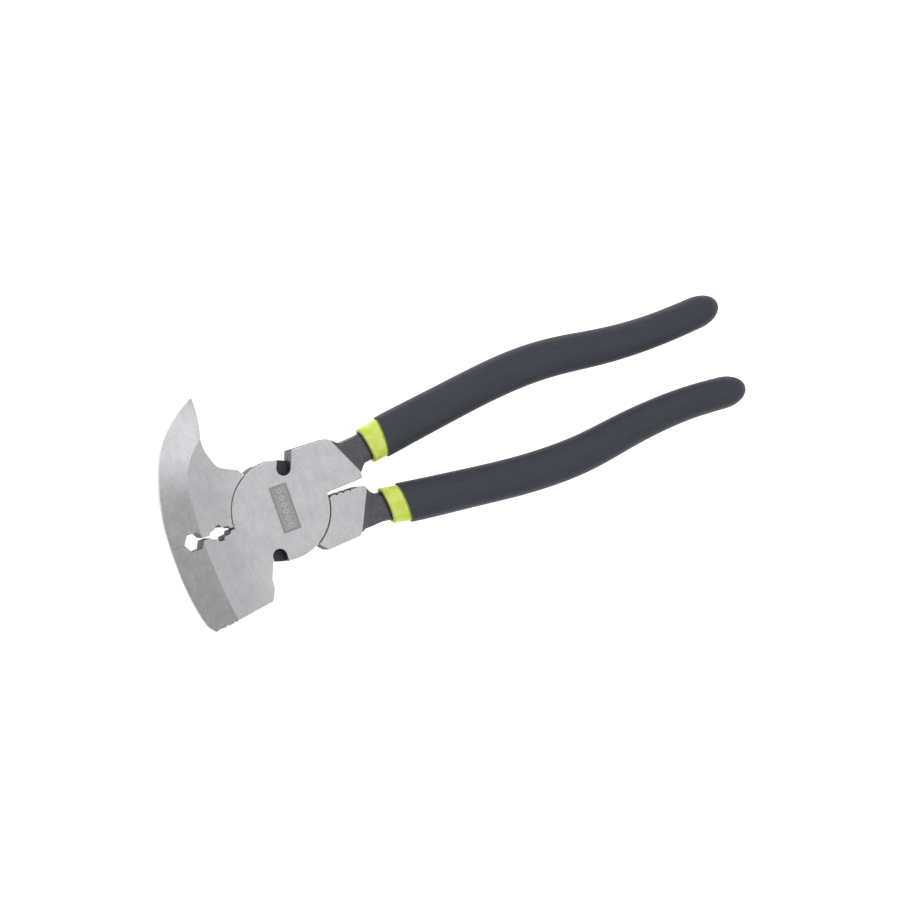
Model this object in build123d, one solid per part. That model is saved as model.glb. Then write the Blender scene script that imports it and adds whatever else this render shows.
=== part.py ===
from build123d import *
import os
from math import atan2, cos, degrees, pi, radians, sin, sqrt

# Fencing pliers: two crossed steel forgings that turn on one rivet. Millimetres.
# The pivot axis is Z, with z = 0 on the ground back face and z = head_thickness on the front face.
# +X runs towards the handles, -X towards the nose, +Y towards the claw, -Y towards the hammer.
# The front forging holds the hammer jaw (-Y) and the upper handle (+Y). The back forging holds the
# claw jaw (+Y) and the lower handle (-Y). Drawn with the jaws closed.

# ---- head ----
head_thickness = 12.0
disc_radius = 21.0          # lapped disc of each forging
lap_clearance = 0.06        # between the two lapped faces
recess_clearance = 0.4      # between a disc and the arc wall around it
jaw_length = 26.9           # disc rim to nose
jaw_gap = 0.06              # between the closed jaws at the nose
claw_height = 55.8
hammer_depth = 37.8
hammer_rise = 3.6           # the hammer face slopes up this much towards the handles
hammer_back = 5.0           # disc rim to the handle end of the hammer face, inwards along X
shoulder_length = 16.6      # disc rim to the handle end of the ground face
shoulder_rise = 1.2         # top of the shoulders above the disc
shoulder_lean = 7.8         # how much further back the ground face reaches at its inner end
shoulder_drop = 2.6         # outer end of the ground face's edge, below the top of the shoulder
shoulder_inner = 3.6        # inner end of that edge, above the jaw line
wall_angle_upper = 58.5     # direction from the pivot to the foot of each shoulder's side wall
wall_angle_lower = -61.0
wall_top_upper = 12.5       # top of the side wall, from the pivot along X
wall_top_lower = 14.2
web_upper = 0.1             # forged web beside the tang, past its outer flank
web_lower = 1.2
web_before_sleeve = 3.6     # the web ends this far before the under-layer
claw_root_angle = 117.0     # where the claw's back meets the disc
hammer_root_angle = 241.7   # where the hammer's back meets the disc
heel_round_upper = 0.4      # rounding where each rear jaw ends
heel_round_lower = 2.4
edge_break = 0.3            # small bevel along the outlines of the head

# ---- ground bevels of the nose and claw ----
edge_thickness = 2.6        # what the bevels leave along the nose
bevel_width = 12.9
nose_bevel_radius = 230.0   # arc of the bevel line along the nose
claw_bevel_radius = 28.2    # arc of the bevel line along the claw
bevel_turn = 18.0           # height above the pivot where the two arcs meet
bevel_past_heel = 16.0      # degrees of the nose arc below the pivot
claw_arc_start = 60.0       # direction in which the claw arc begins, past the tip
bevel_overreach = 2.2       # the cutting wedge is this many bevel widths long

# ---- openings on the jaw line ----
hex_radius = 4.1            # nut hole, centre to corner
hex_from_nose = 9.5
slit_gap = 1.1              # between the jaws from the nut hole back to the disc
bite_depth = 2.1            # stepped wire opening, half height
bite_tooth_depth = 3.4
bite_length = 9.7
bite_from_disc = 1.7

# ---- side cutters ----
notch_radius = 3.05
notch_depth_upper = 3.6     # disc rim to notch centre
notch_depth_lower = 2.3
notch_angle_upper = 67.4    # direction of each notch centre from +X
notch_angle_lower = 248.7
notch_run_upper = 66.5      # direction in which each notch opens
notch_run_lower = 270.0
notch_length = 9.0          # notch centre to past the rim
shear_angle = 25.0          # handles open this far when the two pairs of notches line up

# ---- rear jaws, between the shoulders ----
rear_gap_upper = 0.5
rear_gap_lower = 1.2
rear_flare = 0.6            # how much each rear jaw leans away towards its end
first_tooth = 0.6           # from the disc rim
fine_pitch = 1.5            # teeth of the upper rear jaw
fine_depth = 0.42
fine_count = 9
coarse_pitch = 3.0          # teeth of the lower rear jaw
coarse_depth = 0.75
coarse_count = 4

# ---- hammer face pattern ----
waffle_pitch = 3.2
waffle_depth = 0.5

# ---- rivet ----
rivet_radius = 4.5
rivet_clearance = 0.05      # running fit in the back forging
rivet_head_flare = 2.0      # countersunk back head, past the shank
rivet_head_depth = 2.2
rivet_front_flare = 0.9     # flared front end, past the shank
rivet_front_depth = 1.2

# ---- handles ----
handle_reach = 217.9        # pivot to the ends of the grips
tang_width = 12.4
tang_thickness = 7.6
sleeve_wall = 1.75          # bright under-layer, on the sides
sleeve_wall_faces = 1.65    # and on the front and back
grip_wall = 0.75            # dark outer layer, on the sides
grip_wall_faces = 0.35
sleeve_from_shoulder = 7.0  # bare tang between the ground face and the under-layer
collar_length = 8.0         # bright under-layer left bare before the dark one
dip_turn_upper_sleeve = 10.0    # direction each dipped edge faces, from +X
dip_turn_upper_grip = 0.0
dip_turn_lower_sleeve = -5.0
dip_turn_lower_grip = -3.5
dip_trim = 3.0              # trimmed off the front of each layer to make its dipped edge
tip_length = 11.5           # rounded end of the grip
tang_tip_cover = 6.0        # rubber past the end of the steel
tang_end_taper = 3.6        # how much narrower the handle is at the end than at the start
face_taper = 0.25           # share of that taper taken off the thickness
taper_from = 0.15           # share of the handle's length where the taper starts
palm_swell = 0.95           # extra width in the palm
palm_from = 0.25            # shares of the length between which the palm swells
palm_to = 0.85
section_corner = 0.9        # corner radius of the handle's section, as a share of half its thickness
step_run = 4.2              # length of the slope from the ground shoulder down to the tang
step_clear = 0.1            # the forged web lies this much under the tang's surface
spine_from_disc = 10.0      # the handle's middle line starts this far behind the disc
spine_shares = (0.0, 0.055, 0.10, 0.19, 0.28, 0.375, 0.48, 0.565, 0.67, 0.77, 0.86, 0.93, 1.0)
upper_heights = (10.9, 12.3, 13.6, 16.0, 18.2, 20.4, 21.8, 21.3, 18.9, 17.4, 17.4, 18.1, 19.0)
lower_heights = (11.6, 13.2, 14.6, 17.0, 19.1, 21.2, 22.4, 22.0, 19.6, 17.9, 17.7, 18.6, 19.7)
bar_stations = 14           # sections along the handle
tip_parts = (0.0, 0.3, 0.55, 0.75, 0.9, 0.97)

over = 2.0                  # how far cutting shapes pass the surfaces they cut

middle = head_thickness / 2
nose = disc_radius + jaw_length
recess_radius = disc_radius + recess_clearance
shoulder_end = disc_radius + shoulder_length
shoulder_height = disc_radius + shoulder_rise
spine_start = disc_radius + spine_from_disc
sleeve_start = shoulder_end + sleeve_from_shoulder
grip_start = sleeve_start + collar_length
step_depth = (head_thickness - tang_thickness) / 2 + step_clear
tall = head_thickness + 2 * over
inside_disc = 5.0           # the jaws' outlines run this far inside the disc


def polar(radius, angle):
    """Point at a radius and an angle in degrees from +X."""
    return (radius * cos(radians(angle)), radius * sin(radians(angle)))


def solid_of(wire, low=0.0, high=head_thickness):
    """Closed outline as a plate between two heights."""
    return Pos(0, 0, low) * extrude(make_face(wire), high - low)


def broken(plate):
    """Plate with a small bevel along the edges of its front and back faces, but not along the jaw line."""
    faces = plate.faces().sort_by(Axis.Z)
    edges = [edge for edge in faces[-1].edges() + faces[0].edges() if abs((edge @ 0.5).Y) > jaw_gap]
    return chamfer(edges, edge_break)


def disc(radius, low, high):
    """Plain disc about the pivot between two heights."""
    return Pos(0, 0, (low + high) / 2) * Cylinder(radius, high - low)


def groove(start, end, outward, depth):
    """Square bar on edge from start to end: it leaves a 90 degree groove in a face that looks outward."""
    start, end = Vector(*start), Vector(*end)
    run = end - start
    section = Plane(origin=start, x_dir=Vector(*outward), z_dir=run)
    return extrude(section * RegularPolygon(depth, 4), run.length)


# ---- outlines of the two jaws ----
# The small offsets in an outline's points place its corners and belong to that outline alone.
def claw_outline():
    """Claw jaw: parting line, round nose, tip, hollow back, and the root beside the disc."""
    back_nose = [
        (-nose, jaw_gap / 2),
        (-nose + 0.5, 0.17 * claw_height),
        (-nose + 2.2, 0.35 * claw_height),
        (-nose + 5.2, 0.53 * claw_height),
        (-nose + 9.8, 0.71 * claw_height),
        (-nose + 17.6, 0.87 * claw_height),
        (-disc_radius + 1.5, claw_height),
    ]
    tip = (-disc_radius + 2.1, claw_height - 0.7)
    hollow = [
        tip,
        (-disc_radius + 0.5, 0.80 * claw_height),
        (-disc_radius - 1.3, 0.65 * claw_height),
        (-disc_radius + 0.2, 0.53 * claw_height),
        (-disc_radius + 3.2, disc_radius + 3.9),
    ]
    root_corner = (-disc_radius + 9.4, disc_radius + 0.9)
    root_run = (root_corner[0] - hollow[-1][0], root_corner[1] - hollow[-1][1])
    root = polar(disc_radius, claw_root_angle)
    inside = polar(disc_radius - inside_disc, claw_root_angle)
    edges = [
        Line((-disc_radius + inside_disc, jaw_gap / 2), back_nose[0]),
        Spline(back_nose, tangents=[(0, 1), (0.86, 0.5)]),
        Line(back_nose[-1], tip),
        Spline(hollow, tangents=[(-0.12, -1), root_run]),
        Line(hollow[-1], root_corner),
        Line(root_corner, root),
        Line(root, inside),
        Line(inside, (-disc_radius + inside_disc, jaw_gap / 2)),
    ]
    return Wire(edges)


def hammer_outline():
    """Hammer jaw: parting line, round nose, sloping striking face, and the back edge down to the notch."""
    heel = (-nose + 6.3, -hammer_depth)
    face_end = (-disc_radius + hammer_back, -hammer_depth + hammer_rise)
    back_nose = [
        (-nose, -jaw_gap / 2),
        (-nose + 0.05, -0.28 * hammer_depth),
        (-nose + 0.9, -0.54 * hammer_depth),
        (-nose + 2.6, -0.80 * hammer_depth),
        (-nose + 4.4, -0.94 * hammer_depth),
    ]
    back = [
        (face_end[0] + 1.0, face_end[1] + 0.9),
        (-disc_radius + 7.9, -disc_radius - 8.2),
        (-disc_radius + 8.1, -disc_radius - 4.4),
    ]
    notch_side = polar(disc_radius, hammer_root_angle)
    inside = polar(disc_radius - inside_disc, hammer_root_angle)
    edges = [
        Line((-disc_radius + inside_disc, -jaw_gap / 2), back_nose[0]),
        Spline(back_nose, tangents=[(0, -1), (0.5, -0.86)]),
        Line(back_nose[-1], heel),
        Line(heel, face_end),
        Line(face_end, back[0]),
        Line(back[0], back[1]),
        Line(back[1], back[2]),
        Line(back[2], notch_side),
        Line(notch_side, inside),
        Line(inside, (-disc_radius + inside_disc, -jaw_gap / 2)),
    ]
    return Wire(edges)


# ---- shoulders behind the disc ----
def shoulder_line(side):
    """Ends of the line where the ground face stops, and its direction towards the handle."""
    outer = Vector(shoulder_end - shoulder_lean, side * (shoulder_height - shoulder_drop), 0)
    inner = Vector(shoulder_end, side * shoulder_inner, 0)
    along = (inner - outer).normalized()
    away = Vector(-side * along.Y, side * along.X, 0)
    if away.X < 0:
        away = away * -1
    return outer, inner, away


def shoulder_outline(side, rear_gap, heel_round, wall_angle, wall_top, web):
    """Shoulder on the +Y side (side 1) or the -Y side (side -1), from the disc to the bare tang."""
    outer, inner, away = shoulder_line(side)
    spine = handle_spine(side)
    flank = tang_width / 2
    end = spine @ share_at(side, sleeve_start - web_before_sleeve)
    neck = spine @ share_at(side, shoulder_end + 0.4)
    waist = spine @ share_at(side, shoulder_end - 3.6)
    rear = rear_gap + rear_flare
    points = [
        (disc_radius - inside_disc, side * rear_gap),
        (disc_radius, side * rear_gap),
        (shoulder_end - heel_round - 0.2, side * rear),
        (shoulder_end - 0.2, side * (rear + 0.3 * heel_round)),
        (inner.X + 0.2, inner.Y),
        (inner.X + 0.9, side * (neck.Y - flank - 1.3)),
        (inner.X + 2.3, side * (neck.Y - flank - 0.1)),
        (end.X, side * (end.Y - flank + 0.3)),
        (end.X, side * (end.Y + flank - 0.3)),
        (waist.X, side * (waist.Y + flank + web)),
        (outer.X + 1.9, outer.Y - side * (0.9 - web / 2)),
        (outer.X + 0.2, outer.Y + side * 0.5),
        (outer.X - 1.4, side * (shoulder_height - 0.7)),
        (wall_top, side * shoulder_height),
        polar(disc_radius - 1.0, wall_angle),
        polar(disc_radius - 8.0, wall_angle),
    ]
    return Wire(Polyline(*points, close=True).edges())


def step_cutters(side):
    """Cuts in front and back which leave a slope from the ground shoulder down to the forged web."""
    outer, inner, away = shoulder_line(side)
    along = away.cross(Vector(0, 0, 1))
    centre = (outer + inner) * 0.5
    length = (outer - inner).length + 4 * step_run
    origin = centre - along * (length / 2)
    section = Plane(origin=origin, x_dir=away, z_dir=along)
    reach = step_run * 6
    low = head_thickness - step_depth
    top = head_thickness + over
    front = section * Polygon(
        (0, head_thickness), (step_run, low), (reach, low), (reach, top), (0, top), align=None
    )
    back = section * Polygon(
        (0, 0), (step_run, step_depth), (reach, step_depth), (reach, -over), (0, -over), align=None
    )
    return extrude(front, length) + extrude(back, length)


# ---- bevels ----
def bevel_cutters():
    """Two rings of wedge section, tangent to each other, which grind the nose and the claw to an edge."""
    drop = (head_thickness - edge_thickness) / 2
    slope = drop / bevel_width
    reach = bevel_width * bevel_overreach
    line_x = -nose + bevel_width
    big_centre = (line_x + nose_bevel_radius, 0)
    turn = degrees(atan2(bevel_turn, sqrt(nose_bevel_radius**2 - bevel_turn**2)))
    join = (big_centre[0] - nose_bevel_radius * cos(radians(turn)), bevel_turn)
    small_centre = (
        join[0] + claw_bevel_radius * cos(radians(turn)),
        join[1] - claw_bevel_radius * sin(radians(turn)),
    )

    def wedge(radius, front):
        top = head_thickness if front else 0.0
        sign = -1 if front else 1
        return Polygon(
            (radius, top),
            (radius + reach, top + sign * slope * reach),
            (radius + reach, top - sign * over),
            (radius, top - sign * over),
            align=None,
        )

    cutters = Part()
    for front in (True, False):
        for centre, radius, start, sweep in (
            (big_centre, nose_bevel_radius, 180 - turn, turn + bevel_past_heel),
            (small_centre, claw_bevel_radius, claw_arc_start, 180 - claw_arc_start - turn),
        ):
            face = Plane.XZ * wedge(radius, front)
            ring = revolve(face, Axis.Z, sweep)
            cutters += Pos(centre[0], centre[1], 0) * Rot(0, 0, start) * ring
    return cutters


# ---- openings between the jaws ----
def jaw_openings():
    """Nut hole, stepped wire opening, and the slit that joins them to the disc."""
    hex_x = -nose + hex_from_nose
    nut_hole = Pos(hex_x, 0, -over) * extrude(RegularPolygon(hex_radius, 6), tall)
    right = -disc_radius - bite_from_disc
    left = right - bite_length
    upper = [
        (left, 0.0),
        (left + 1.2, 0.8 * bite_depth),
        (left + 3.2, bite_depth),
        (left + 3.9, bite_tooth_depth),
        (left + 5.8, bite_tooth_depth),
        (left + 6.3, bite_depth - 0.1),
        (right - 0.9, bite_depth - 0.3),
        (right - 0.1, 0.9),
    ]
    lower = [(x, -y) for x, y in reversed(upper[1:])]
    bite = Pos(0, 0, -over) * extrude(make_face(Polyline(*upper, *lower, close=True)), tall)
    slit_length = -disc_radius + over - hex_x
    slit = Pos(hex_x + slit_length / 2, 0, middle) * Box(slit_length, slit_gap, tall)
    return nut_hole + bite + slit


# ---- side cutters ----
def notch(reach, angle, run_angle, low, high):
    """Round-bottomed slot that opens outwards through the rim of a disc."""
    x, y = polar(reach, angle)
    round_end = Pos(x, y, (low + high) / 2) * Cylinder(notch_radius, high - low)
    mx, my = polar(notch_length / 2, run_angle)
    bar = Rot(0, 0, run_angle) * Box(notch_length, 2 * notch_radius, high - low)
    slot = Pos(x + mx, y + my, (low + high) / 2) * bar
    return round_end + slot


def notches(turn, low, high):
    """Upper and lower notch, both turned about the pivot."""
    upper_reach = disc_radius - notch_depth_upper
    lower_reach = disc_radius - notch_depth_lower
    upper = notch(upper_reach, notch_angle_upper + turn, notch_run_upper + turn, low, high)
    lower = notch(lower_reach, notch_angle_lower + turn, notch_run_lower + turn, low, high)
    return upper + lower


# ---- serrations ----
def waffle():
    """Crossed grooves in the striking face of the hammer."""
    start = Vector(-nose + 6.3, -hammer_depth, 0)
    end = Vector(-disc_radius + hammer_back, -hammer_depth + hammer_rise, 0)
    run = end - start
    along = run.normalized()
    outward = (along.Y, -along.X, 0)
    cutters = Part()
    count = int(run.length // waffle_pitch)
    margin = (run.length - (count - 1) * waffle_pitch) / 2
    for index in range(count):
        foot = start + along * (margin + index * waffle_pitch)
        cutters += groove(
            (foot.X, foot.Y, -over), (foot.X, foot.Y, head_thickness + over), outward, waffle_depth
        )
    rows = int(head_thickness // waffle_pitch)
    low = middle - (rows - 1) * waffle_pitch / 2
    for row in range(rows):
        height = low + row * waffle_pitch
        first = start - along * over
        last = end + along * over
        cutters += groove((first.X, first.Y, height), (last.X, last.Y, height), outward, waffle_depth)
    return cutters


def rear_teeth(side, rear_gap, pitch, depth, count):
    """Row of grooves across the thickness of a rear jaw."""
    cutters = Part()
    for index in range(count):
        x = disc_radius + first_tooth + pitch * index
        lean = rear_flare * (x - disc_radius) / shoulder_length
        y = side * (rear_gap + lean)
        cutters += groove((x, y, -over), (x, y, head_thickness + over), (0, -side, 0), depth)
    return cutters


# ---- handles ----
def handle_spine(side):
    """Middle line of a handle, drawn on the +Y side, from inside the shoulder to the end of the grip."""
    run = handle_reach - spine_start
    heights = upper_heights if side > 0 else lower_heights
    return Spline([(spine_start + run * share, height) for share, height in zip(spine_shares, heights)])


def handle_layer(side, extra_side, extra_face, first_share, end_cover):
    """Lofted oval bar along a handle: the tang itself, or the outside of a layer around it."""
    spine = handle_spine(side)
    last = 1.0 - end_cover / spine.length
    tip_share = tip_length / spine.length
    straight = last - tip_share - first_share
    bar_sections = []
    for index in range(bar_stations):
        share = first_share + straight * index / (bar_stations - 1)
        bar_sections.append(oval(spine, share, extra_side, extra_face, 1.0))
    tip_sections = []
    for part in tip_parts:
        share = last - tip_share * (1 - part)
        tip_sections.append(oval(spine, share, extra_side, extra_face, sqrt(1 - part**2)))
    end = spine @ last
    tip = loft(tip_sections + [Vertex(end.X, end.Y, middle)])
    return loft(bar_sections) + tip


def oval(spine, share, extra_side, extra_face, scale):
    """Rounded section square to the handle at a share of its length."""
    place = spine @ share
    along = spine % share
    narrow = tang_end_taper * max(0.0, share - taper_from) / (1 - taper_from)
    palm = min(1.0, max(0.0, (share - palm_from) / (palm_to - palm_from)))
    swell = palm_swell * sin(pi * palm) ** 2
    wide = (tang_width - narrow + swell + 2 * extra_side) * scale
    thick = (tang_thickness - face_taper * narrow + 2 * extra_face) * scale
    plane = Plane(
        origin=(place.X, place.Y, middle),
        x_dir=Vector(-along.Y, along.X, 0),
        z_dir=Vector(along.X, along.Y, 0),
    )
    return plane * RectangleRounded(wide, thick, section_corner * thick / 2)


def share_at(side, x):
    """Share of a handle's middle line at a distance from the pivot along X."""
    spine = handle_spine(side)
    low, high = 0.0, 1.0
    for _ in range(40):
        half = (low + high) / 2
        if (spine @ half).X < x:
            low = half
        else:
            high = half
    return low


def dipped(layer, side, start, turn):
    """Layer with its front edge cut to the line of the dip: through the middle line at start, facing turn."""
    place = handle_spine(side) @ share_at(side, start)
    block = 4 * tang_width
    waste = Pos(-block / 2, 0, 0) * Box(block, block, block)
    return layer - Pos(place.X, place.Y, middle) * Rot(0, 0, turn) * waste


def handle_parts(side, sleeve_turn, grip_turn):
    """Tang, under-layer and outer layer of a handle, drawn on the +Y side and mirrored for the lower one."""
    sleeve_from = share_at(side, sleeve_start - dip_trim)
    grip_from = share_at(side, grip_start - dip_trim)
    tang = handle_layer(side, 0, 0, 0.0, tang_tip_cover)
    sleeve_outside = handle_layer(side, sleeve_wall, sleeve_wall_faces, sleeve_from, grip_wall * 2)
    grip_outside = handle_layer(
        side, sleeve_wall + grip_wall, sleeve_wall_faces + grip_wall_faces, grip_from, 0
    )
    sleeve = dipped(sleeve_outside - tang, side, sleeve_start, sleeve_turn)
    grip = dipped(grip_outside - sleeve_outside - tang, side, grip_start, grip_turn)
    if side > 0:
        return tang, sleeve, grip
    return mirror(tang, about=Plane.XZ), mirror(sleeve, about=Plane.XZ), mirror(grip, about=Plane.XZ)


# ---- the rivet and its holes ----
def rivet_shape(clearance):
    """Shank with a flared front end and a countersunk back head, both flush with the ground faces."""
    radius = rivet_radius + clearance
    shank = Pos(0, 0, middle) * Cylinder(radius, head_thickness)
    head = Pos(0, 0, rivet_head_depth / 2) * Cone(radius + rivet_head_flare, radius, rivet_head_depth)
    front = Pos(0, 0, head_thickness - rivet_front_depth / 2) * Cone(
        radius, radius + rivet_front_flare, rivet_front_depth
    )
    return shank + head + front


def build():
    lap_low = middle - lap_clearance / 2
    lap_high = middle + lap_clearance / 2
    bevels = bevel_cutters()
    openings = jaw_openings()
    front_recess = disc(recess_radius, lap_low, head_thickness + over)
    back_recess = disc(recess_radius, -over, lap_high)
    upper_tang, upper_sleeve, upper_grip = handle_parts(1, dip_turn_upper_sleeve, dip_turn_upper_grip)
    lower_tang, lower_sleeve, lower_grip = handle_parts(-1, dip_turn_lower_sleeve, dip_turn_lower_grip)

    hammer = broken(solid_of(hammer_outline())) - bevels - waffle()
    upper_outline = shoulder_outline(
        1, rear_gap_upper, heel_round_upper, wall_angle_upper, wall_top_upper, web_upper
    )
    upper = broken(solid_of(upper_outline)) - step_cutters(1)
    hammer_half = (hammer + upper) - back_recess - openings
    front_disc = disc(disc_radius, lap_high, head_thickness)
    hammer_half += chamfer(front_disc.faces().sort_by(Axis.Z)[-1].edges(), edge_break)
    hammer_half -= notches(0.0, middle, head_thickness + over)
    hammer_half -= rear_teeth(1, rear_gap_upper, fine_pitch, fine_depth, fine_count)
    hammer_half += upper_tang
    hammer_half -= rivet_shape(0.0)

    claw = broken(solid_of(claw_outline())) - bevels
    lower_outline = shoulder_outline(
        -1, rear_gap_lower, heel_round_lower, wall_angle_lower, wall_top_lower, web_lower
    )
    lower = broken(solid_of(lower_outline)) - step_cutters(-1)
    claw_half = (claw + lower) - front_recess - openings
    back_disc = disc(disc_radius, 0, lap_low)
    claw_half += chamfer(back_disc.faces().sort_by(Axis.Z)[0].edges(), edge_break)
    claw_half -= notches(shear_angle, -over, middle)
    claw_half -= rear_teeth(-1, rear_gap_lower, coarse_pitch, coarse_depth, coarse_count)
    claw_half += lower_tang
    claw_half -= rivet_shape(rivet_clearance)

    return {
        "hammer_half": hammer_half,
        "claw_half": claw_half,
        "pivot_rivet": rivet_shape(0.0),
        "upper_sleeve": upper_sleeve,
        "lower_sleeve": lower_sleeve,
        "upper_grip": upper_grip,
        "lower_grip": lower_grip,
    }


os.makedirs("parts", exist_ok=True)
for name, shape in build().items():
    export_step(shape, f"parts/{name}.step")
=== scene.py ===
import bpy
import numpy as np
from mathutils import Matrix, Vector


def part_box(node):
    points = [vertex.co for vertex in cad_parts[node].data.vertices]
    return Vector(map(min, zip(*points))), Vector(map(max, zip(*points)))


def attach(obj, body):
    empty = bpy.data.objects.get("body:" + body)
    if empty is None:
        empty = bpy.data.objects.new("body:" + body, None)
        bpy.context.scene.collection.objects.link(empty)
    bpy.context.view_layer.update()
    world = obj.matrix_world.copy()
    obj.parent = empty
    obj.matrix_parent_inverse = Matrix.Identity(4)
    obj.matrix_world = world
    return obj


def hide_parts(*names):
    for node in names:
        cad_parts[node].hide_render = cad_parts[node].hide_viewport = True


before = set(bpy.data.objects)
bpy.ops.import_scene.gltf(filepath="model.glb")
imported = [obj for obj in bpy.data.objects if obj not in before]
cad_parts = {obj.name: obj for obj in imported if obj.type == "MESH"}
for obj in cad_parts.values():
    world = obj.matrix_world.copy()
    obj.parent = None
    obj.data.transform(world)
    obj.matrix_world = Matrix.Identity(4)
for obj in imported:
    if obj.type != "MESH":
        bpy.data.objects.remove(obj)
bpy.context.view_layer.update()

MM = 0.001

# ---- read from the frame ----
RIVET_LOW, RIVET_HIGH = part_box("pivot_rivet")
FRONT = RIVET_HIGH.z
BACK = RIVET_LOW.z
MIDDLE = (FRONT + BACK) / 2
HANDLE_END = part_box("upper_grip")[1].x


# ---------------------------------------------------------------- shader wording
class Value:
    """One number in a material: Python's operators on it add Math nodes."""

    def __init__(self, maker, socket):
        self.maker = maker
        self.socket = socket

    def __add__(self, other):
        return self.maker.math("ADD", self, other)

    __radd__ = __add__

    def __sub__(self, other):
        return self.maker.math("SUBTRACT", self, other)

    def __rsub__(self, other):
        return self.maker.math("SUBTRACT", other, self)

    def __mul__(self, other):
        return self.maker.math("MULTIPLY", self, other)

    __rmul__ = __mul__

    def __truediv__(self, other):
        return self.maker.math("DIVIDE", self, other)

    def __abs__(self):
        return self.maker.math("ABSOLUTE", self)

    def __gt__(self, other):
        return self.maker.math("GREATER_THAN", self, other)

    def __lt__(self, other):
        return self.maker.math("LESS_THAN", self, other)

    def most(self, other):
        return self.maker.math("MAXIMUM", self, other)

    def root(self):
        return self.maker.math("SQRT", self)

    def fraction(self):
        return self.maker.math("FRACT", self)


class Maker:
    """Builds one material around a Principled shader."""

    def __init__(self, name):
        self.material = bpy.data.materials.new(name)
        self.material.use_nodes = True
        self.tree = self.material.node_tree
        self.shader = self.tree.nodes["Principled BSDF"]
        self.place = self.node("ShaderNodeTexCoord", out="Object")
        self.facing = self.node("ShaderNodeTexCoord", out="Normal")

    def put(self, socket, value):
        """A link where the value comes from a node, else the socket's own setting."""
        if isinstance(value, Value):
            self.tree.links.new(value.socket, socket)
        elif socket.type == "RGBA" and len(value) == 3:
            socket.default_value = (*value, 1.0)
        else:
            socket.default_value = value

    def node(self, kind, settings=None, sockets=None, out=0):
        """Adds a node: its settings first, then the values or links of its sockets."""
        added = self.tree.nodes.new(kind)
        for name, value in (settings or {}).items():
            setattr(added, name, value)
        for name, value in (sockets or {}).items():
            self.put(added.inputs[name], value)
        return Value(self, added.outputs[out])

    def math(self, operation, first, second=0.0):
        return self.node("ShaderNodeMath", {"operation": operation}, {0: first, 1: second})

    def soft(self, value, low, high):
        """0 below low, 1 above high, smooth between."""
        sockets = {"Value": value, 1: low, 2: high, 3: 0.0, 4: 1.0}
        return self.node("ShaderNodeMapRange", {"interpolation_type": "SMOOTHSTEP"}, sockets)

    def spread(self, value, low, high):
        """A value from 0 to 1 stretched to run from low to high."""
        return value * (high - low) + low

    def colours(self, mask, first, second):
        """The first colour where the mask is 0, and the second where it is 1."""
        return self.node("ShaderNodeMix", {"data_type": "RGBA"}, {0: mask, 6: first, 7: second}, out=2)

    def split(self, vector):
        """The three parts of a vector."""
        first = self.node("ShaderNodeSeparateXYZ", {}, {0: vector})
        return [Value(self, output) for output in first.socket.node.outputs]

    def noise(self, often, detail, roughness):
        """Noise with about so many patches in a metre: the same each way, or one number for each axis."""
        vector = self.place
        if isinstance(often, tuple):
            vector = self.node("ShaderNodeVectorMath", {"operation": "MULTIPLY"}, {0: vector, 1: often})
            often = 1.0
        sockets = {"Vector": vector, "Scale": often, "Detail": detail, "Roughness": roughness}
        return self.node("ShaderNodeTexNoise", {}, sockets)

    def mark(self, name):
        """A number stored at the points of the piece's mesh."""
        return self.node("ShaderNodeAttribute", {"attribute_name": name}, out=2)

    def bump(self, height, strength, distance):
        sockets = {"Strength": strength, "Distance": distance, "Height": height}
        return self.node("ShaderNodeBump", {}, sockets)

    def finish(self, **sockets):
        for name, value in sockets.items():
            self.put(self.shader.inputs[name.replace("_", " ")], value)
        return self.material


# ---------------------------------------------------------------- where each finish lies
# A pair is where a soft mask begins and where it is full.
DISC_RADIUS = 21.0 * MM
FLAT_FACING = (0.895, 0.925)                    # how squarely a ground face looks up or down
FACE_BAND = (5.68 * MM, 5.74 * MM)              # ground faces, from the middle plane
SHOULDER_INNER = Vector((37.6, 3.6)) * MM       # the line where the ground face of a shoulder ends
SHOULDER_OUTER = Vector((29.8, 19.6)) * MM
SHOULDER_FADE = (-0.05 * MM, 0.25 * MM)
LAP_HALF = 0.9 * MM                             # the lapped faces, beside the middle plane
LAP_RADIUS = 22.0 * MM
NOSE_HALF = 1.75 * MM                           # the ground nose edge
NOSE_TO = -18.6 * MM
NOSE_RADIUS = 42.0 * MM
NOSE_FACING = Vector((0.3, 0.5))                # it looks forwards, or up along the claw's back
STRIKING_DEPTH = (32.5 * MM, 33.0 * MM)         # the hammer face, below the pivot
STRIKING_TO = -14.5 * MM
JAW_FADE = (-28.0 * MM, -12.0 * MM)             # the jaws' flat faces are a little darker
JAW_FACING = 0.97
SEAM_RADII = (DISC_RADIUS - 0.2 * MM, DISC_RADIUS + 0.6 * MM)   # turned walls beside the disc, bare steel painted lighter than the seams' shade
LEFT_SEAM_TO = -9.6 * MM
RIGHT_SEAM_FROM = 10.4 * MM
DEEP_RADIUS = DISC_RADIUS - 0.1 * MM            # walls inside the disc's rim are in shade
CORNER = ((9.0 * MM, 15.5 * MM), -17.5 * MM)    # painted shade on the wall under the right seam: between these x, below this y
CORNER_FACING = 0.5
CHAMFER_HIGHLIGHT_FACING = ((0.5, 0.6), (0.80, 0.88))        # painted highlight on the chamfers, between a wall and a face
CHAMFER_HIGHLIGHT_BAND = (5.66 * MM, 5.72 * MM)
STEEP_FACING = ((0.82, 0.86), (0.89, 0.90))     # forged slopes that lie just short of flat, where light is painted on
RIVET_HEAD = RIVET_HIGH.x                       # the countersunk head, flush with the back face
RIVET_LINE = (0.06 * MM, 0.17 * MM)             # half width of the line around it
FACE_DEPTH = 0.2 * MM                           # marks on a face reach this deep
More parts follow.
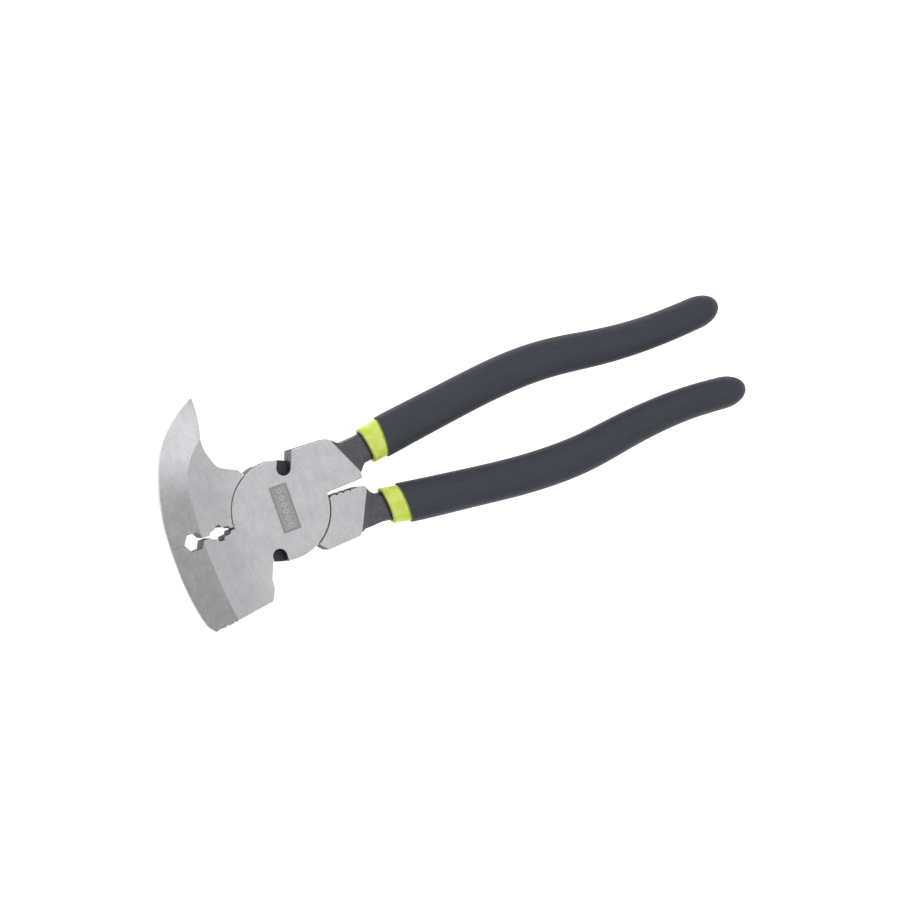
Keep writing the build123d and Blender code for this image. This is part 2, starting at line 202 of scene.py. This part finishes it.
DIP_TURNS = {                                   # direction each dipped edge faces, in degrees from +X
    "upper_sleeve": 10.0,
    "upper_grip": 0.0,
    "lower_sleeve": -5.0,
    "lower_grip": -3.5,
}
RIM_PLACE = Vector((44.6, 13.7)) * MM           # where the under-layer's rim crosses the middle of the tang
RIM_SHADE = (0.4 * MM, 1.7 * MM)

PANEL_CENTRE = Vector((1.8, 0.5)) * MM          # etched panel on the front disc
PANEL_HALF = Vector((3.9, 9.9)) * MM
PANEL_EDGE = 0.22 * MM
BORDER = (0.95 * MM, 0.45 * MM)                 # its border line, in from the panel's edge
LOZENGE_COUNT = 6                               # row of small raised lozenges
LOZENGE_PITCH = 2.95 * MM
LOZENGE_SLIM = 0.8
LOZENGE_INNER = (0.55 * MM, 0.8 * MM)
LOZENGE_OUTER = (1.15 * MM, 1.4 * MM)
WHOLE_TURNS = 50.0                              # keeps the count of lozenges above zero


def ground_mask(make, x, y, z, nx, ny, nz):
    """1 on the ground front and back faces, bevels and nose edge, 0 on the forged skin."""
    flat = make.soft(abs(nz), *FLAT_FACING)
    height = abs(z - MIDDLE)
    band = make.soft(height, *FACE_BAND)
    run = SHOULDER_INNER - SHOULDER_OUTER
    away = Vector((-run.y, run.x)).normalized()
    past = (x - SHOULDER_INNER.x) * away.x + (abs(y) - SHOULDER_INNER.y) * away.y
    before = 1.0 - make.soft(past, *SHOULDER_FADE)
    radius = (x * x + y * y).root()
    lap = (height < LAP_HALF) * (radius < LAP_RADIUS)
    outward = (nx < NOSE_FACING.x).most(ny > NOSE_FACING.y)
    nose = (height < NOSE_HALF) * (x < NOSE_TO) * (radius > NOSE_RADIUS) * outward
    striking = make.soft(y * -1.0, *STRIKING_DEPTH) * (x < STRIKING_TO)
    return (flat.most(band) * before * (1.0 - lap)).most(nose).most(striking)


def under_rim(make, x, y):
    """1 on the bare tang close to the dipped rim, where it lies in the rim's shade."""
    shades = []
    for sign, node in ((1.0, "upper_sleeve"), (-1.0, "lower_sleeve")):
        turn = np.radians(DIP_TURNS[node])
        ahead = (RIM_PLACE.x - x) * np.cos(turn) + (RIM_PLACE.y - y * sign) * np.sin(turn)
        shades.append((1.0 - make.soft(ahead, *RIM_SHADE)) * (y * sign > 0.0))
    return shades[0].most(shades[1])


def turned_wall(x, y, radius):
    """1 on the turned walls of the two arc-shaped seams beside the disc, which carry bare steel with painted
    light.
    """
    seam = (radius > SEAM_RADII[0]) * (radius < SEAM_RADII[1])
    left = (x < LEFT_SEAM_TO) * (y > 0.0)
    right = (x > RIGHT_SEAM_FROM) * (y < 0.0)
    return seam * left.most(right)


def panel_masks(make, x, y, z):
    """The etched panel, its border line, and its row of raised lozenges."""
    across = abs(x - PANEL_CENTRE.x)
    along = abs(y - PANEL_CENTRE.y)
    inside = 1.0 - make.soft(across, PANEL_HALF.x - PANEL_EDGE, PANEL_HALF.x + PANEL_EDGE)
    inside = inside * (1.0 - make.soft(along, PANEL_HALF.y - PANEL_EDGE, PANEL_HALF.y + PANEL_EDGE))
    inside = inside * (z > FRONT - FACE_DEPTH)
    border = make.soft(across, PANEL_HALF.x - BORDER[0], PANEL_HALF.x - BORDER[1])
    border = border.most(make.soft(along, PANEL_HALF.y - BORDER[0], PANEL_HALF.y - BORDER[1]))
    place = ((y - PANEL_CENTRE.y) / LOZENGE_PITCH + WHOLE_TURNS).fraction()
    from_centre = across * LOZENGE_SLIM + abs((place - 0.5) * LOZENGE_PITCH)
    lozenge = make.soft(from_centre, *LOZENGE_INNER) * (1.0 - make.soft(from_centre, *LOZENGE_OUTER))
    return inside, border, lozenge * (along < LOZENGE_COUNT / 2 * LOZENGE_PITCH)


# ---------------------------------------------------------------- patterns and colours
# Each pattern: patches in a metre, detail, roughness.
LAPPING = ((1900.0, 360.0, 360.0), 4.0, 0.65)   # fine lines across the tool
BANDS = ((480.0, 110.0, 110.0), 3.0, 0.5)
STEEL_CLOUDS = (210.0, 5.0, 0.7)
STEEL_SPECKS = (1500.0, 3.0, 0.7)
STIPPLE = (1900.0, 2.0, 0.6)
FORGED_SKIN = (700.0, 4.0, 0.6)
LIME_CLOUDS = (240.0, 3.0, 0.5)
EDGE_WANDER = (700.0, 3.0, 0.6)
LIME_RIPPLE = (900.0, 2.0, 0.5)
PEBBLES = (1500.0, 3.0, 0.6)
FINE_PEBBLES = (4200.0, 2.0, 0.6)
WIPE_MARKS = ((60.0, 700.0, 700.0), 3.0, 0.5)
GRIP_CLOUDS = (70.0, 3.0, 0.5)

STEEL_DARK = (0.345, 0.340, 0.352)
STEEL_LIGHT = (0.515, 0.508, 0.520)
# colour of the painted highlight on the chamfers
CHAMFER_HIGHLIGHT_COLOUR = (0.80, 0.79, 0.80)
TURNED_STEEL_PAINTED_LIGHTER = (0.56, 0.553, 0.56)
RIVET_LINE_COLOUR = (0.10, 0.10, 0.105)
ETCHED_DARK = (0.33, 0.322, 0.312)
ETCHED_LIGHT = (0.43, 0.42, 0.408)
LOZENGE_COLOUR = (0.54, 0.53, 0.515)
BORDER_COLOUR = (0.25, 0.246, 0.238)
SKIN_DARK = (0.050, 0.050, 0.060)
SKIN_LIGHT = (0.142, 0.140, 0.162)
SLOPE_PAINTED_LIGHT = (0.17, 0.166, 0.19)
RIM_SHADE_COLOUR = (0.015, 0.016, 0.012)
DEEP_COLOUR = (0.02, 0.02, 0.022)
CORNER_PAINTED_SHADE = (0.012, 0.012, 0.014)
LIME_DARK = (0.60, 0.72, 0.072)
LIME_LIGHT = (0.71, 0.825, 0.165)
LIME_GRIP_PAINTED_SHADE = (0.13, 0.165, 0.018)
LIME_RIM_PAINTED_SHADE = (0.25, 0.31, 0.03)
GRIP_DARK = (0.003, 0.0051, 0.0155)
GRIP_LIGHT = (0.056, 0.0628, 0.0835)
FLOOR_COLOUR = (0.9, 0.9, 0.9)
WHITE = (1.0, 1.0, 1.0)

SHADES = (0.11, 0.05, 0.11, 0.09)               # how far lines, bands, clouds and specks shift the steel
SHADE_REACH = 0.16                              # the steel's two colours lie this far either way
JAW_SHADE = 0.08
STIPPLE_RANGE = (0.42, 0.62)
LIME_CLOUD_RANGE = (0.35, 0.65)
GRIP_SHARES = (0.5, 0.3, 0.2)                   # pebbles, wipe marks and clouds in the grip's shade
WANDER = 0.25 * MM                              # how far the painted shade at the lime's edges wavers
LIME_GRIP_SHADE_RANGE = (0.35 * MM, 1.15 * MM)
LIME_RIM_SHADE_RANGE = (0.15 * MM, 0.85 * MM)

# How much of each mark's colour shows.
CHAMFER_HIGHLIGHT_SHARE = 0.85
LOZENGE_SHARE = 0.7
BORDER_SHARE = 0.6
RIVET_LINE_SHARE = 0.7
SLOPE_PAINTED_LIGHT_SHARE = 0.45
RIM_SHADE_SHARE = 0.8
DEEP_SHARE = 0.5
CORNER_SHADE_SHARE = 0.9
LIME_GRIP_SHADE_SHARE = 0.9
LIME_RIM_SHADE_SHARE = 0.6

# Roughness and metal: the least and the most, and what a mark adds or takes away.
GROUND_ROUGH = (0.30, 0.44)
SKIN_ROUGH = (0.42, 0.62)
LIME_ROUGH = (0.26, 0.40)
GRIP_ROUGH = (0.52, 0.64)
FLOOR_ROUGH = 0.9
PANEL_ROUGHER = 0.22
STEEL_METAL = (0.55, 0.96)
PANEL_DULLER = 0.25
TURNED_DULLER = 0.3

# Relief: shares of a finish's height, then the strength and height of its bumps.
LINE_RELIEF = 0.6
BAND_RELIEF = 0.4
SKIN_RELIEF = 2.4
PANEL_RELIEF = 0.8
STIPPLE_RELIEF = 0.35
LOZENGE_RELIEF = 0.45
FINE_RELIEF = 0.5
STEEL_BUMP = (0.22, 0.06 * MM)
LIME_BUMP = (0.12, 0.08 * MM)
GRIP_BUMP = (0.35, 0.12 * MM)


def ground_colour(make, x, z, nz, radius, patterns, panel):
    """Ground steel: lapped faces, a painted highlight on the chamfers, the line around the rivet, and the
    etched panel.
    """
    inside, border, lozenge = panel
    shade = make.spread(patterns[0], -SHADES[0], SHADES[0])
    for pattern, far in zip(patterns[1:], SHADES[1:]):
        shade = shade + make.spread(pattern, -far, far)
    jaws = (1.0 - make.soft(x, *JAW_FADE)) * (abs(nz) > JAW_FACING)
    shade = make.soft(shade - jaws * JAW_SHADE, -SHADE_REACH, SHADE_REACH)
    steel = make.colours(shade, STEEL_DARK, STEEL_LIGHT)
    # painted highlight: the chamfers between the ground faces and the walls are lightened to stand in for
    # the light they catch
    chamfer_highlight = make.soft(abs(nz), *CHAMFER_HIGHLIGHT_FACING[0]) * (1.0 - make.soft(abs(nz), *CHAMFER_HIGHLIGHT_FACING[1]))
    chamfer_highlight = chamfer_highlight * make.soft(abs(z - MIDDLE), *CHAMFER_HIGHLIGHT_BAND)
    steel = make.colours(chamfer_highlight * CHAMFER_HIGHLIGHT_SHARE, steel, CHAMFER_HIGHLIGHT_COLOUR)
    stipple = make.soft(make.noise(*STIPPLE), *STIPPLE_RANGE)
    etched = make.colours(stipple, ETCHED_DARK, ETCHED_LIGHT)
    etched = make.colours(lozenge * LOZENGE_SHARE, etched, LOZENGE_COLOUR)
    etched = make.colours(border * BORDER_SHARE, etched, BORDER_COLOUR)
    steel = make.colours(inside, steel, etched)
    ring = 1.0 - make.soft(abs(radius - RIVET_HEAD), *RIVET_LINE)
    steel = make.colours(ring * (z < BACK + FACE_DEPTH) * RIVET_LINE_SHARE, steel, RIVET_LINE_COLOUR)
    return steel, stipple


def skin_colour(make, x, y, nz, radius, skin_shade, turned_and_painted_light):
    """Dark forged skin: painted light on the slopes, painted shade in deep places, under the dipped rim and
    in one corner, and turned bare steel painted bright on the seam walls.
    """
    skin = make.colours(skin_shade, SKIN_DARK, SKIN_LIGHT)
    # painted light: the forged slopes are lightened so they don't read darker than the tang beside them
    slope_light = make.soft(abs(nz), *STEEP_FACING[0]) * (1.0 - make.soft(abs(nz), *STEEP_FACING[1]))
    skin = make.colours(slope_light * SLOPE_PAINTED_LIGHT_SHARE, skin, SLOPE_PAINTED_LIGHT)
    skin = make.colours(under_rim(make, x, y) * RIM_SHADE_SHARE, skin, RIM_SHADE_COLOUR)
    skin = make.colours((radius < DEEP_RADIUS) * DEEP_SHARE, skin, DEEP_COLOUR)
    # painted shade where the disc's side meets the shoulder, under the right seam
    (corner_from, corner_to), corner_below = CORNER
    corner_shade = (y < corner_below) * (x > corner_from) * (x < corner_to) * (abs(nz) < CORNER_FACING)
    skin = make.colours(corner_shade * CORNER_SHADE_SHARE, skin, CORNER_PAINTED_SHADE)
    # the turned walls of the seams: bare steel, and painted lighter than the shade they lie in
    return make.colours(turned_and_painted_light, skin, TURNED_STEEL_PAINTED_LIGHTER)


def steel_finish(name):
    """Ground steel with fine lapping lines on the faces, and a dark oxide skin on the forged sides."""
    make = Maker(name)
    x, y, z = make.split(make.place)
    nx, ny, nz = make.split(make.facing)
    radius = (x * x + y * y).root()
    ground = ground_mask(make, x, y, z, nx, ny, nz)
    patterns = [make.noise(*pattern) for pattern in (LAPPING, BANDS, STEEL_CLOUDS, STEEL_SPECKS)]
    lines, bands, _, specks = patterns
    panel = panel_masks(make, x, y, z)
    inside, _, lozenge = panel
    steel, stipple = ground_colour(make, x, z, nz, radius, patterns, panel)
    skin_shade = make.noise(*FORGED_SKIN)
    turned_and_painted_light = turned_wall(x, y, radius) * (1.0 - ground)
    skin = skin_colour(make, x, y, nz, radius, skin_shade, turned_and_painted_light)
    rough_ground = make.spread(lines, *GROUND_ROUGH) + inside * PANEL_ROUGHER
    rough_skin = make.spread(specks, *SKIN_ROUGH)
    height = (lines * LINE_RELIEF + bands * BAND_RELIEF) * ground + skin_shade * (1.0 - ground) * SKIN_RELIEF
    height = height - inside * (PANEL_RELIEF - STIPPLE_RELIEF * stipple - lozenge * LOZENGE_RELIEF)
    return make.finish(
        Base_Color=make.colours(ground, skin, steel),
        Roughness=rough_skin + (rough_ground - rough_skin) * ground,
        Metallic=make.spread(ground, *STEEL_METAL) - inside * PANEL_DULLER - turned_and_painted_light * TURNED_DULLER,
        Normal=make.bump(height, *STEEL_BUMP),
    )


def lime_finish():
    """Smooth dipped vinyl, mottled, with painted shade at its rim and where the grip covers it."""
    make = Maker("lime_vinyl")
    clouds = make.noise(*LIME_CLOUDS)
    wander = make.spread(make.noise(*EDGE_WANDER), -WANDER, WANDER)
    # painted shade on the lime where the dark grip's edge meets it
    lime_grip_shade = 1.0 - make.soft(make.mark("to_grip") + wander, *LIME_GRIP_SHADE_RANGE)
    # painted shade on the lime near its rim, where the lip overhangs the tang
    lime_rim_shade = 1.0 - make.soft(make.mark("from_rim") + wander, *LIME_RIM_SHADE_RANGE)
    colour = make.colours(make.soft(clouds, *LIME_CLOUD_RANGE), LIME_DARK, LIME_LIGHT)
    colour = make.colours(lime_grip_shade * LIME_GRIP_SHADE_SHARE, colour, LIME_GRIP_PAINTED_SHADE)
    colour = make.colours(lime_rim_shade * LIME_RIM_SHADE_SHARE, colour, LIME_RIM_PAINTED_SHADE)
    return make.finish(
        Base_Color=colour,
        Roughness=make.spread(clouds, *LIME_ROUGH),
        Normal=make.bump(make.noise(*LIME_RIPPLE), *LIME_BUMP),
    )


def grip_finish():
    """Matt dark vinyl with a fine pebbled skin and faint wipe marks along the handle."""
    make = Maker("dark_vinyl")
    pebbles = make.noise(*PEBBLES)
    fine = make.noise(*FINE_PEBBLES)
    marks = make.noise(*WIPE_MARKS)
    clouds = make.noise(*GRIP_CLOUDS)
    shade = pebbles * GRIP_SHARES[0] + marks * GRIP_SHARES[1] + clouds * GRIP_SHARES[2]
    return make.finish(
        Base_Color=make.colours(shade, GRIP_DARK, GRIP_LIGHT),
        Roughness=make.spread(clouds, *GRIP_ROUGH),
        Normal=make.bump(pebbles + fine * FINE_RELIEF, *GRIP_BUMP),
    )


# ---------------------------------------------------------------- handles
# Heights of each handle's middle line above or below the pivot, at these shares of its length along X.
SPINE_SHARES = np.array([0.0, 0.055, 0.10, 0.19, 0.28, 0.375, 0.48, 0.565, 0.67, 0.77, 0.86, 0.93, 1.0])
UPPER_HEIGHTS = MM * np.array([10.9, 12.3, 13.6, 16.0, 18.2, 20.4, 21.8, 21.3, 18.9, 17.4, 17.4, 18.1, 19.0])
LOWER_HEIGHTS = MM * np.array([11.6, 13.2, 14.6, 17.0, 19.1, 21.2, 22.4, 22.0, 19.6, 17.9, 17.7, 18.6, 19.7])
SPINE_START = 31.0 * MM
TANG_HALF = np.array([6.2, 3.8]) * MM           # half width and half thickness of the steel inside
SLEEVE_WALL = np.array([1.75, 1.65]) * MM
GRIP_WALL = np.array([0.75, 0.35]) * MM
END_NARROWING = np.array([1.8, 0.45]) * MM      # how much of each half size is lost towards the end
TAPER_FROM = 0.15                               # shares of the handle's length
PALM_FROM = 0.25
PALM_TO = 0.85
PALM_SWELL = np.array([0.475, 0.0]) * MM
TIP = 11.5 * MM                                 # rounded end of the grip
LEAN_FADE = 14.0 * MM                           # the rings stand square to the handle past this
CLEAR = 0.02 * MM                               # inside the frame's boxes
SLEEVE_COVER = 1.52 * MM                        # the under-layer ends this much inside the outer one
LIP_ROUND = 0.5                                 # how far the rim's rounding reaches, in walls
SECTION_POWER = 2.35                            # 2 is an ellipse, more is squarer
SPINE_POINTS = 1601
AROUND = 128                                    # points round a ring
RINGS_ALONG = 90                                # rings along a side, closer together near the rim
RING_CROWDING = 1.35
RINGS_TIP = 22
RINGS_LIP = 15
TINY_TURN = 1e-9                                # keeps the rings' powers off exact zero


def natural_spline(at, knots, values):
    """Cubic curve through the knots with no bend at its ends: on each span
    a*v0 + b*v1 + ((a^3 - a)*m0 + (b^3 - b)*m1) * h^2 / 6, where a and b are the shares of the span still to
    go and already gone, and m is the bend at the knots, which solves a tridiagonal system."""
    h = np.diff(knots)
    size = len(knots)
    system = np.eye(size)
    right = np.zeros(size)
    inner = np.arange(1, size - 1)
    system[inner, inner - 1] = h[:-1]
    system[inner, inner] = 2 * (h[:-1] + h[1:])
    system[inner, inner + 1] = h[1:]
    right[inner] = 6 * np.diff(np.diff(values) / h)
    bend = np.linalg.solve(system, right)
    k = np.clip(np.searchsorted(knots, at) - 1, 0, size - 2)
    b = (at - knots[k]) / h[k]
    a = 1 - b
    straight = a * values[k] + b * values[k + 1]
    return straight + ((a**3 - a) * bend[k] + (b**3 - b) * bend[k + 1]) * h[k] ** 2 / 6


def spine_table(heights):
    """Points every share of a handle's middle line, with the length along it."""
    shares = np.linspace(0, 1, SPINE_POINTS)
    x = SPINE_START + (HANDLE_END - SPINE_START) * shares
    y = natural_spline(shares, SPINE_SHARES, heights)
    length = np.concatenate([[0], np.cumsum(np.hypot(np.diff(x), np.diff(y)))])
    return x, y, length


def rings(table, along, half_sizes, lean):
    """Closed oval rings across the handle's middle line, one for each length in along.
    Point (i, j) is centre + side * w_i * C(v_j) + up * t_i * S(v_j), taken at the length
    along_i + lean_i * w_i * C(v_j), with v_j running once round, C = sign(cos v) |cos v|^(2/n) and
    S = sign(sin v) |sin v|^(2/n), n the section power."""
    x, y, length = table
    v = np.linspace(0, 2 * np.pi, AROUND, endpoint=False) + TINY_TURN
    power = 2 / SECTION_POWER
    c = np.sign(np.cos(v)) * np.abs(np.cos(v)) ** power
    s = np.sign(np.sin(v)) * np.abs(np.sin(v)) ** power
    across = half_sizes[:, :1] * c
    place = along[:, None] + lean[:, None] * across
    run = np.interp(place, length, np.gradient(y, x))
    scale = np.sqrt(1 + run**2)
    points = np.empty((len(along), AROUND, 3))
    points[:, :, 0] = np.interp(place, length, x) - run / scale * across
    points[:, :, 1] = np.interp(place, length, y) + across / scale
    points[:, :, 2] = MIDDLE + half_sizes[:, 1:] * s
    return points, place


def bar_halves(along, total, wall):
    """Half width and half thickness of a layer at each length: the tang's, less the narrowing towards the
    end, plus a sin^2 swell in the palm and the walls over it."""
    taper = np.clip((along / total - TAPER_FROM) / (1 - TAPER_FROM), 0, 1)
    palm = np.clip((along / total - PALM_FROM) / (PALM_TO - PALM_FROM), 0, 1)
    swell = np.sin(np.pi * palm) ** 2
    return TANG_HALF - END_NARROWING * taper[:, None] + PALM_SWELL * swell[:, None] + wall


def layer_path(total, start, wall_in, wall_out, cover):
    """Lengths and half sizes of the rings of one dipped layer: from the inner pole back along the inside,
    round the lip, and out along the outside to the outer pole. Near its end each side closes as
    sqrt(1 - p^2), with p from 0 to 1 over the tip."""
    wall = wall_out - wall_in
    bar = np.linspace(0, 1, RINGS_ALONG) ** RING_CROWDING
    close = np.sin(np.linspace(0, 1, RINGS_TIP)[1:] * np.pi / 2)
    out_end = total - cover
    in_end = out_end - wall[0]
    first = start + wall[0] * LIP_ROUND
    along, halves = [], []
    for end, layer in ((in_end, wall_in), (out_end, wall_out)):
        straight = first + (end - TIP - first) * bar
        tip = end - TIP + TIP * close
        line = np.concatenate([straight, tip])
        half = bar_halves(line, total, layer)
        half[len(straight):] *= np.sqrt(np.clip(1 - close**2, 0, 1))[:, None]
        along.append(line)
        halves.append(half)
    turn = np.linspace(0, np.pi, RINGS_LIP)[1:-1]
    lip_along = start + wall[0] * LIP_ROUND * (1 - np.sin(turn))
    mix = (1 - np.cos(turn)) / 2
    lip_half = halves[0][0] + (halves[1][0] - halves[0][0]) * mix[:, None]
    line = np.concatenate([along[0][::-1], lip_along, along[1]])
    half = np.concatenate([halves[0][::-1], lip_half, halves[1]])
    return line, half


def shell_mesh(name, points, mirrored):
    """Mesh of a tube of rings whose first and last rings are shrunk to one point each. Face (i, j) joins
    points j and j + 1 of ring i to the same points of ring i + 1, and a fan closes each pole."""
    if mirrored:
        points = points * np.array([1.0, -1.0, 1.0])
        points = points[:, ::-1]
    first, last = points[0].mean(0), points[-1].mean(0)
    body = points[1:-1]
    count, around = body.shape[:2]
    vertices = np.concatenate([body.reshape(-1, 3), [first, last]])
    i, j = np.meshgrid(np.arange(count - 1), np.arange(around), indexing="ij")
    k = (j + 1) % around
    here = i * around
    there = here + around
    quads = np.stack([here + j, here + k, there + k, there + j], -1).reshape(-1, 4)
    j = np.arange(around)
    k = (j + 1) % around
    pole = count * around
    last_ring = pole - around
    start_fan = np.stack([np.full(around, pole), k, j], 1)
    end_fan = np.stack([np.full(around, pole + 1), last_ring + j, last_ring + k], 1)
    mesh = bpy.data.meshes.new(name)
    mesh.from_pydata(vertices.tolist(), [], quads.tolist() + start_fan.tolist() + end_fan.tolist())
    mesh.polygons.foreach_set("use_smooth", np.ones(len(mesh.polygons), bool))
    mesh.update()
    return mesh


def per_vertex(values, mirrored):
    """Ring values in the order of a tube's vertices, the poles last."""
    if mirrored:
        values = values[:, ::-1]
    return np.concatenate([values[1:-1].ravel(), [values[0].mean(), values[-1].mean()]])


def add_piece(name, mesh, material, body, node):
    """Object at the origin which rides on a body and stands for a node of the frame."""
    piece = add_object(name, mesh)
    mesh.materials.append(material)
    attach(piece, body)
    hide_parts(node)


def rim(table, node, outer_half):
    """Where a dipped edge crosses the middle line, and the lean of its rings there."""
    turn = np.radians(DIP_TURNS[node])
    x, y, length = table
    start_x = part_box(node)[0].x + outer_half * np.sin(abs(turn)) + CLEAR
    start = float(np.interp(start_x, x, length))
    slope = float(np.interp(start, length, np.arctan(np.gradient(y, x))))
    return start, np.tan(slope - turn)


def add_mark(mesh, name, values):
    """Stores one number at each corner point of a mesh."""
    mark = mesh.attributes.new(name, "FLOAT", "POINT")
    mark.data.foreach_set("value", np.ascontiguousarray(values, dtype=np.float32))


def add_handles(lime, dark):
    """Lime under-layer and dark outer layer of both handles."""
    none = np.zeros(2)
    sides = (("upper", "hammer_side", UPPER_HEIGHTS), ("lower", "claw_side", LOWER_HEIGHTS))
    for side, body, heights in sides:
        table = spine_table(heights)
        total = table[2][-1]
        mirrored = side == "lower"
        outer = TANG_HALF[0] + SLEEVE_WALL[0]
        sleeve_start, sleeve_lean = rim(table, f"{side}_sleeve", outer)
        grip_start, grip_lean = rim(table, f"{side}_grip", outer + GRIP_WALL[0])

        line, half = layer_path(total, sleeve_start, none, SLEEVE_WALL, SLEEVE_COVER)
        lean = sleeve_lean * np.exp(-((line - sleeve_start) / LEAN_FADE) ** 2)
        points, place = rings(table, line, half, lean)
        across = points[:, :, 1] - np.interp(points[:, :, 0], table[0], table[1])
        from_rim = place - sleeve_start - sleeve_lean * across
        to_grip = grip_start + grip_lean * across - place
        mesh = shell_mesh(f"{side}_collar_skin", points, mirrored)
        add_mark(mesh, "from_rim", per_vertex(from_rim, mirrored))
        add_mark(mesh, "to_grip", per_vertex(to_grip, mirrored))
        add_piece(f"{side}_collar_skin", mesh, lime, body, f"{side}_sleeve")

        outside = SLEEVE_WALL + GRIP_WALL
        line, half = layer_path(total, grip_start, SLEEVE_WALL, outside, CLEAR)
        lean = grip_lean * np.exp(-((line - grip_start) / LEAN_FADE) ** 2)
        points, place = rings(table, line, half, lean)
        mesh = shell_mesh(f"{side}_grip_skin", points, mirrored)
        add_piece(f"{side}_grip_skin", mesh, dark, body, f"{side}_grip")


# ---------------------------------------------------------------- stage, light and camera
CAMERA_PLACE = Vector((-266.3, 76.0, 1064.7)) * MM
CAMERA_RIGHT = Vector((0.89223, -0.32364, 0.31494))
CAMERA_UP = Vector((0.32865, 0.94366, 0.03867))
LENS = 105.6
SENSOR = 36.0
FAR_END = 20.0
FLOOR_HALF = 3.0
FLOOR_GAP = 0.3 * MM                            # below the back face
FLOOR_GLOW = 0.86
WORLD_LIGHT = 0.62
LAMP_AIM = Vector((0.05, 0.0, 0.0))
LAMPS = (                                       # name, place, size, power
    ("key", Vector((-0.38, 0.80, 1.25)), 1.2, 6.1),
    ("fill", Vector((0.44, -0.12, 1.45)), 1.0, 2.8),
)


def add_object(name, data):
    """New object at the origin, in the scene."""
    added = bpy.data.objects.new(name, data)
    bpy.context.scene.collection.objects.link(added)
    return added


def add_camera():
    """Camera looking down on the front face from the nose side."""
    camera = bpy.data.cameras.new("camera")
    camera.lens = LENS
    camera.sensor_width = SENSOR
    camera.clip_end = FAR_END
    holder = add_object("camera", camera)
    back = CAMERA_RIGHT.cross(CAMERA_UP)
    turn = Matrix((CAMERA_RIGHT, CAMERA_UP, back)).transposed().to_4x4()
    holder.matrix_world = Matrix.Translation(CAMERA_PLACE) @ turn
    bpy.context.scene.camera = holder


def add_floor():
    """White lit sheet just under the back face."""
    signs = ((-1, -1), (1, -1), (1, 1), (-1, 1))
    corners = [(i * FLOOR_HALF, j * FLOOR_HALF, BACK - FLOOR_GAP) for i, j in signs]
    mesh = bpy.data.meshes.new("floor")
    mesh.from_pydata(corners, [], [(0, 1, 2, 3)])
    floor = add_object("floor", mesh)
    make = Maker("lit_floor_sheet")
    sheet = make.finish(
        Base_Color=FLOOR_COLOUR, Roughness=FLOOR_ROUGH, Emission_Color=WHITE, Emission_Strength=FLOOR_GLOW
    )
    mesh.materials.append(sheet)


def add_lamp(name, place, size, power):
    """Soft square lamp aimed near the middle of the tool."""
    lamp = bpy.data.lights.new(name, "AREA")
    lamp.shape = "SQUARE"
    lamp.size = size
    lamp.energy = power
    turn = (LAMP_AIM - place).to_track_quat("-Z", "Y").to_matrix().to_4x4()
    add_object(name, lamp).matrix_world = Matrix.Translation(place) @ turn


def add_world():
    """Even white light from all round."""
    world = bpy.data.worlds.new("studio")
    world.use_nodes = True
    background = world.node_tree.nodes["Background"]
    background.inputs["Color"].default_value = (*WHITE, 1.0)
    background.inputs["Strength"].default_value = WORLD_LIGHT
    bpy.context.scene.world = world
    bpy.context.scene.view_settings.view_transform = "Standard"


add_camera()
add_floor()
add_world()
for lamp in LAMPS:
    add_lamp(*lamp)

steel = steel_finish("forged_steel")
for node in ("hammer_half", "claw_half", "pivot_rivet"):
    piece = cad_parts[node]
    piece.data.materials.clear()
    piece.data.materials.append(steel)
add_handles(lime_finish(), grip_finish())
